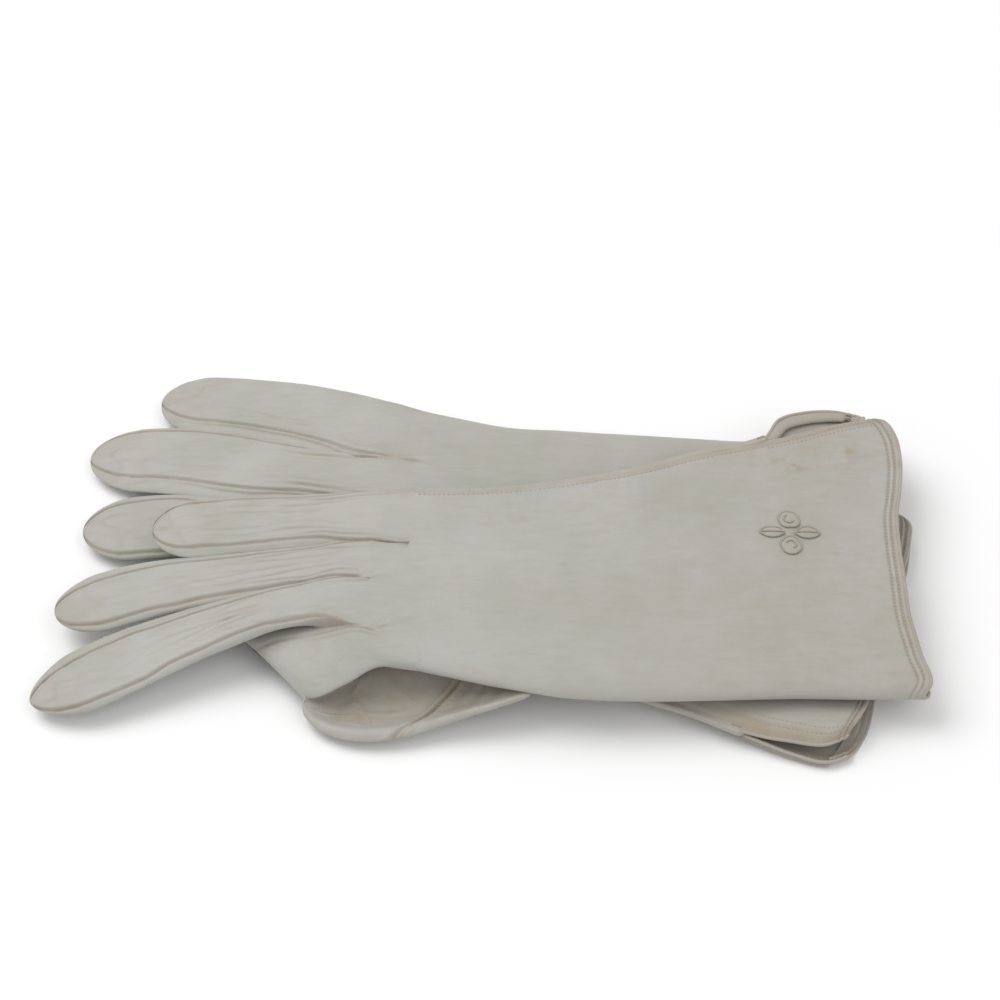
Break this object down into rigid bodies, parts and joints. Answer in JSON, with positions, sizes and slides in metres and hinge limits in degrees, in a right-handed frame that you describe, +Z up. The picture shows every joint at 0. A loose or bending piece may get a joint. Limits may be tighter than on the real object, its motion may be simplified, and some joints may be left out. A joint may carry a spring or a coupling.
{
  "type": "pair of gloves",
  "caption": "Pair of thin ivory leather gloves with short vented cuffs, laid one on the other with the backs of the hands up.",
  "frame": {"origin": "on the surface the pair lies on, under the middle of its bounding box", "axes": "+X from the fingertips towards the cuffs, +Y from the front of the pair to its back, +Z up"},
  "size_m": [0.2306, 0.132, 0.0226],
  "materials": {
    "kid_leather": "satin",
    "fourchette_leather": "satin",
    "welt_leather": "satin",
    "hem_leather": "matte",
    "thread": "matte"
  },
  "bodies": {
    "left_hand": {"left_cuff_hem_back": "hem_leather", "left_cuff_hem_palm": "hem_leather", "left_cuff_ornament": "thread", "left_hand_back": "kid_leather", "left_hand_palm": "kid_leather", "left_little_back": "kid_leather", "left_little_fourchette_thumbward": "fourchette_leather", "left_little_palm": "kid_leather", "left_long_seam_welt": "welt_leather", "left_ring_back": "kid_leather", "left_ring_fourchette_littleward": "fourchette_leather", "left_ring_fourchette_thumbward": "fourchette_leather", "left_ring_palm": "kid_leather", "left_thumb_gusset": "fourchette_leather", "left_thumb_inner": "kid_leather", "left_thumb_outer": "kid_leather", "left_vent_facing_back": "hem_leather", "left_vent_facing_palm": "hem_leather"},
    "left_index": {"left_index_back": "kid_leather", "left_index_fourchette_littleward": "fourchette_leather", "left_index_palm": "kid_leather"},
    "left_middle": {"left_middle_back": "kid_leather", "left_middle_fourchette_littleward": "fourchette_leather", "left_middle_fourchette_thumbward": "fourchette_leather", "left_middle_palm": "kid_leather"},
    "right_hand": {"right_cuff_hem_back": "hem_leather", "right_cuff_hem_palm": "hem_leather", "right_cuff_ornament": "thread", "right_hand_back": "kid_leather", "right_hand_palm": "kid_leather", "right_index_base_back": "kid_leather", "right_index_base_fourchette": "fourchette_leather", "right_index_base_palm": "kid_leather", "right_index_tip_back": "kid_leather", "right_index_tip_fourchette": "fourchette_leather", "right_index_tip_palm": "kid_leather", "right_long_seam_welt": "welt_leather", "right_vent_facing_back": "hem_leather", "right_vent_facing_palm": "hem_leather"},
    "right_little": {"right_little_back": "kid_leather", "right_little_fourchette_thumbward": "fourchette_leather", "right_little_palm": "kid_leather"},
    "right_ring": {"right_ring_back": "kid_leather", "right_ring_fourchette_littleward": "fourchette_leather", "right_ring_fourchette_thumbward": "fourchette_leather", "right_ring_palm": "kid_leather"},
    "right_middle": {"right_middle_back": "kid_leather", "right_middle_fourchette_littleward": "fourchette_leather", "right_middle_fourchette_thumbward": "fourchette_leather", "right_middle_palm": "kid_leather"},
    "right_thumb": {"right_thumb_gusset": "fourchette_leather", "right_thumb_inner": "kid_leather", "right_thumb_outer": "kid_leather"}
  },
  "joints": [
    {"name": "right_glove_lift", "type": "slide", "parent": "left_hand", "child": "right_hand", "axis": [0, 0, 1], "range_m": [0, 0.12]},
    {"name": "right_little_flex", "type": "hinge", "parent": "right_hand", "child": "right_little", "pos_m": [-0.02182, 0.00054, 0.02247], "axis": [0.0108, 0.9999, 0.009], "range_deg": [0, 45]},
    {"name": "right_ring_flex", "type": "hinge", "parent": "right_hand", "child": "right_ring", "pos_m": [-0.02782, -0.01486, 0.02253], "axis": [-0.0601, 0.9981, 0.0113], "range_deg": [0, 45]},
    {"name": "right_middle_flex", "type": "hinge", "parent": "right_hand", "child": "right_middle", "pos_m": [-0.03082, -0.02746, 0.02251], "axis": [-0.2112, 0.9773, 0.0162], "range_deg": [0, 45]},
    {"name": "right_thumb_swing", "type": "hinge", "parent": "right_hand", "child": "right_thumb", "pos_m": [0.012, -0.04647, 0.0095], "axis": [0, 0, 1], "range_deg": [0, 30]},
    {"name": "left_index_flex", "type": "hinge", "parent": "left_hand", "child": "left_index", "pos_m": [-0.02113, 0.04153, 0.01322], "axis": [0.2331, 0.9724, 0.0012], "range_deg": [0, 45]},
    {"name": "left_middle_flex", "type": "hinge", "parent": "left_hand", "child": "left_middle", "pos_m": [-0.02314, 0.02113, 0.0131], "axis": [0.1697, 0.9855, 0.0035], "range_deg": [0, 45]}
  ]
}
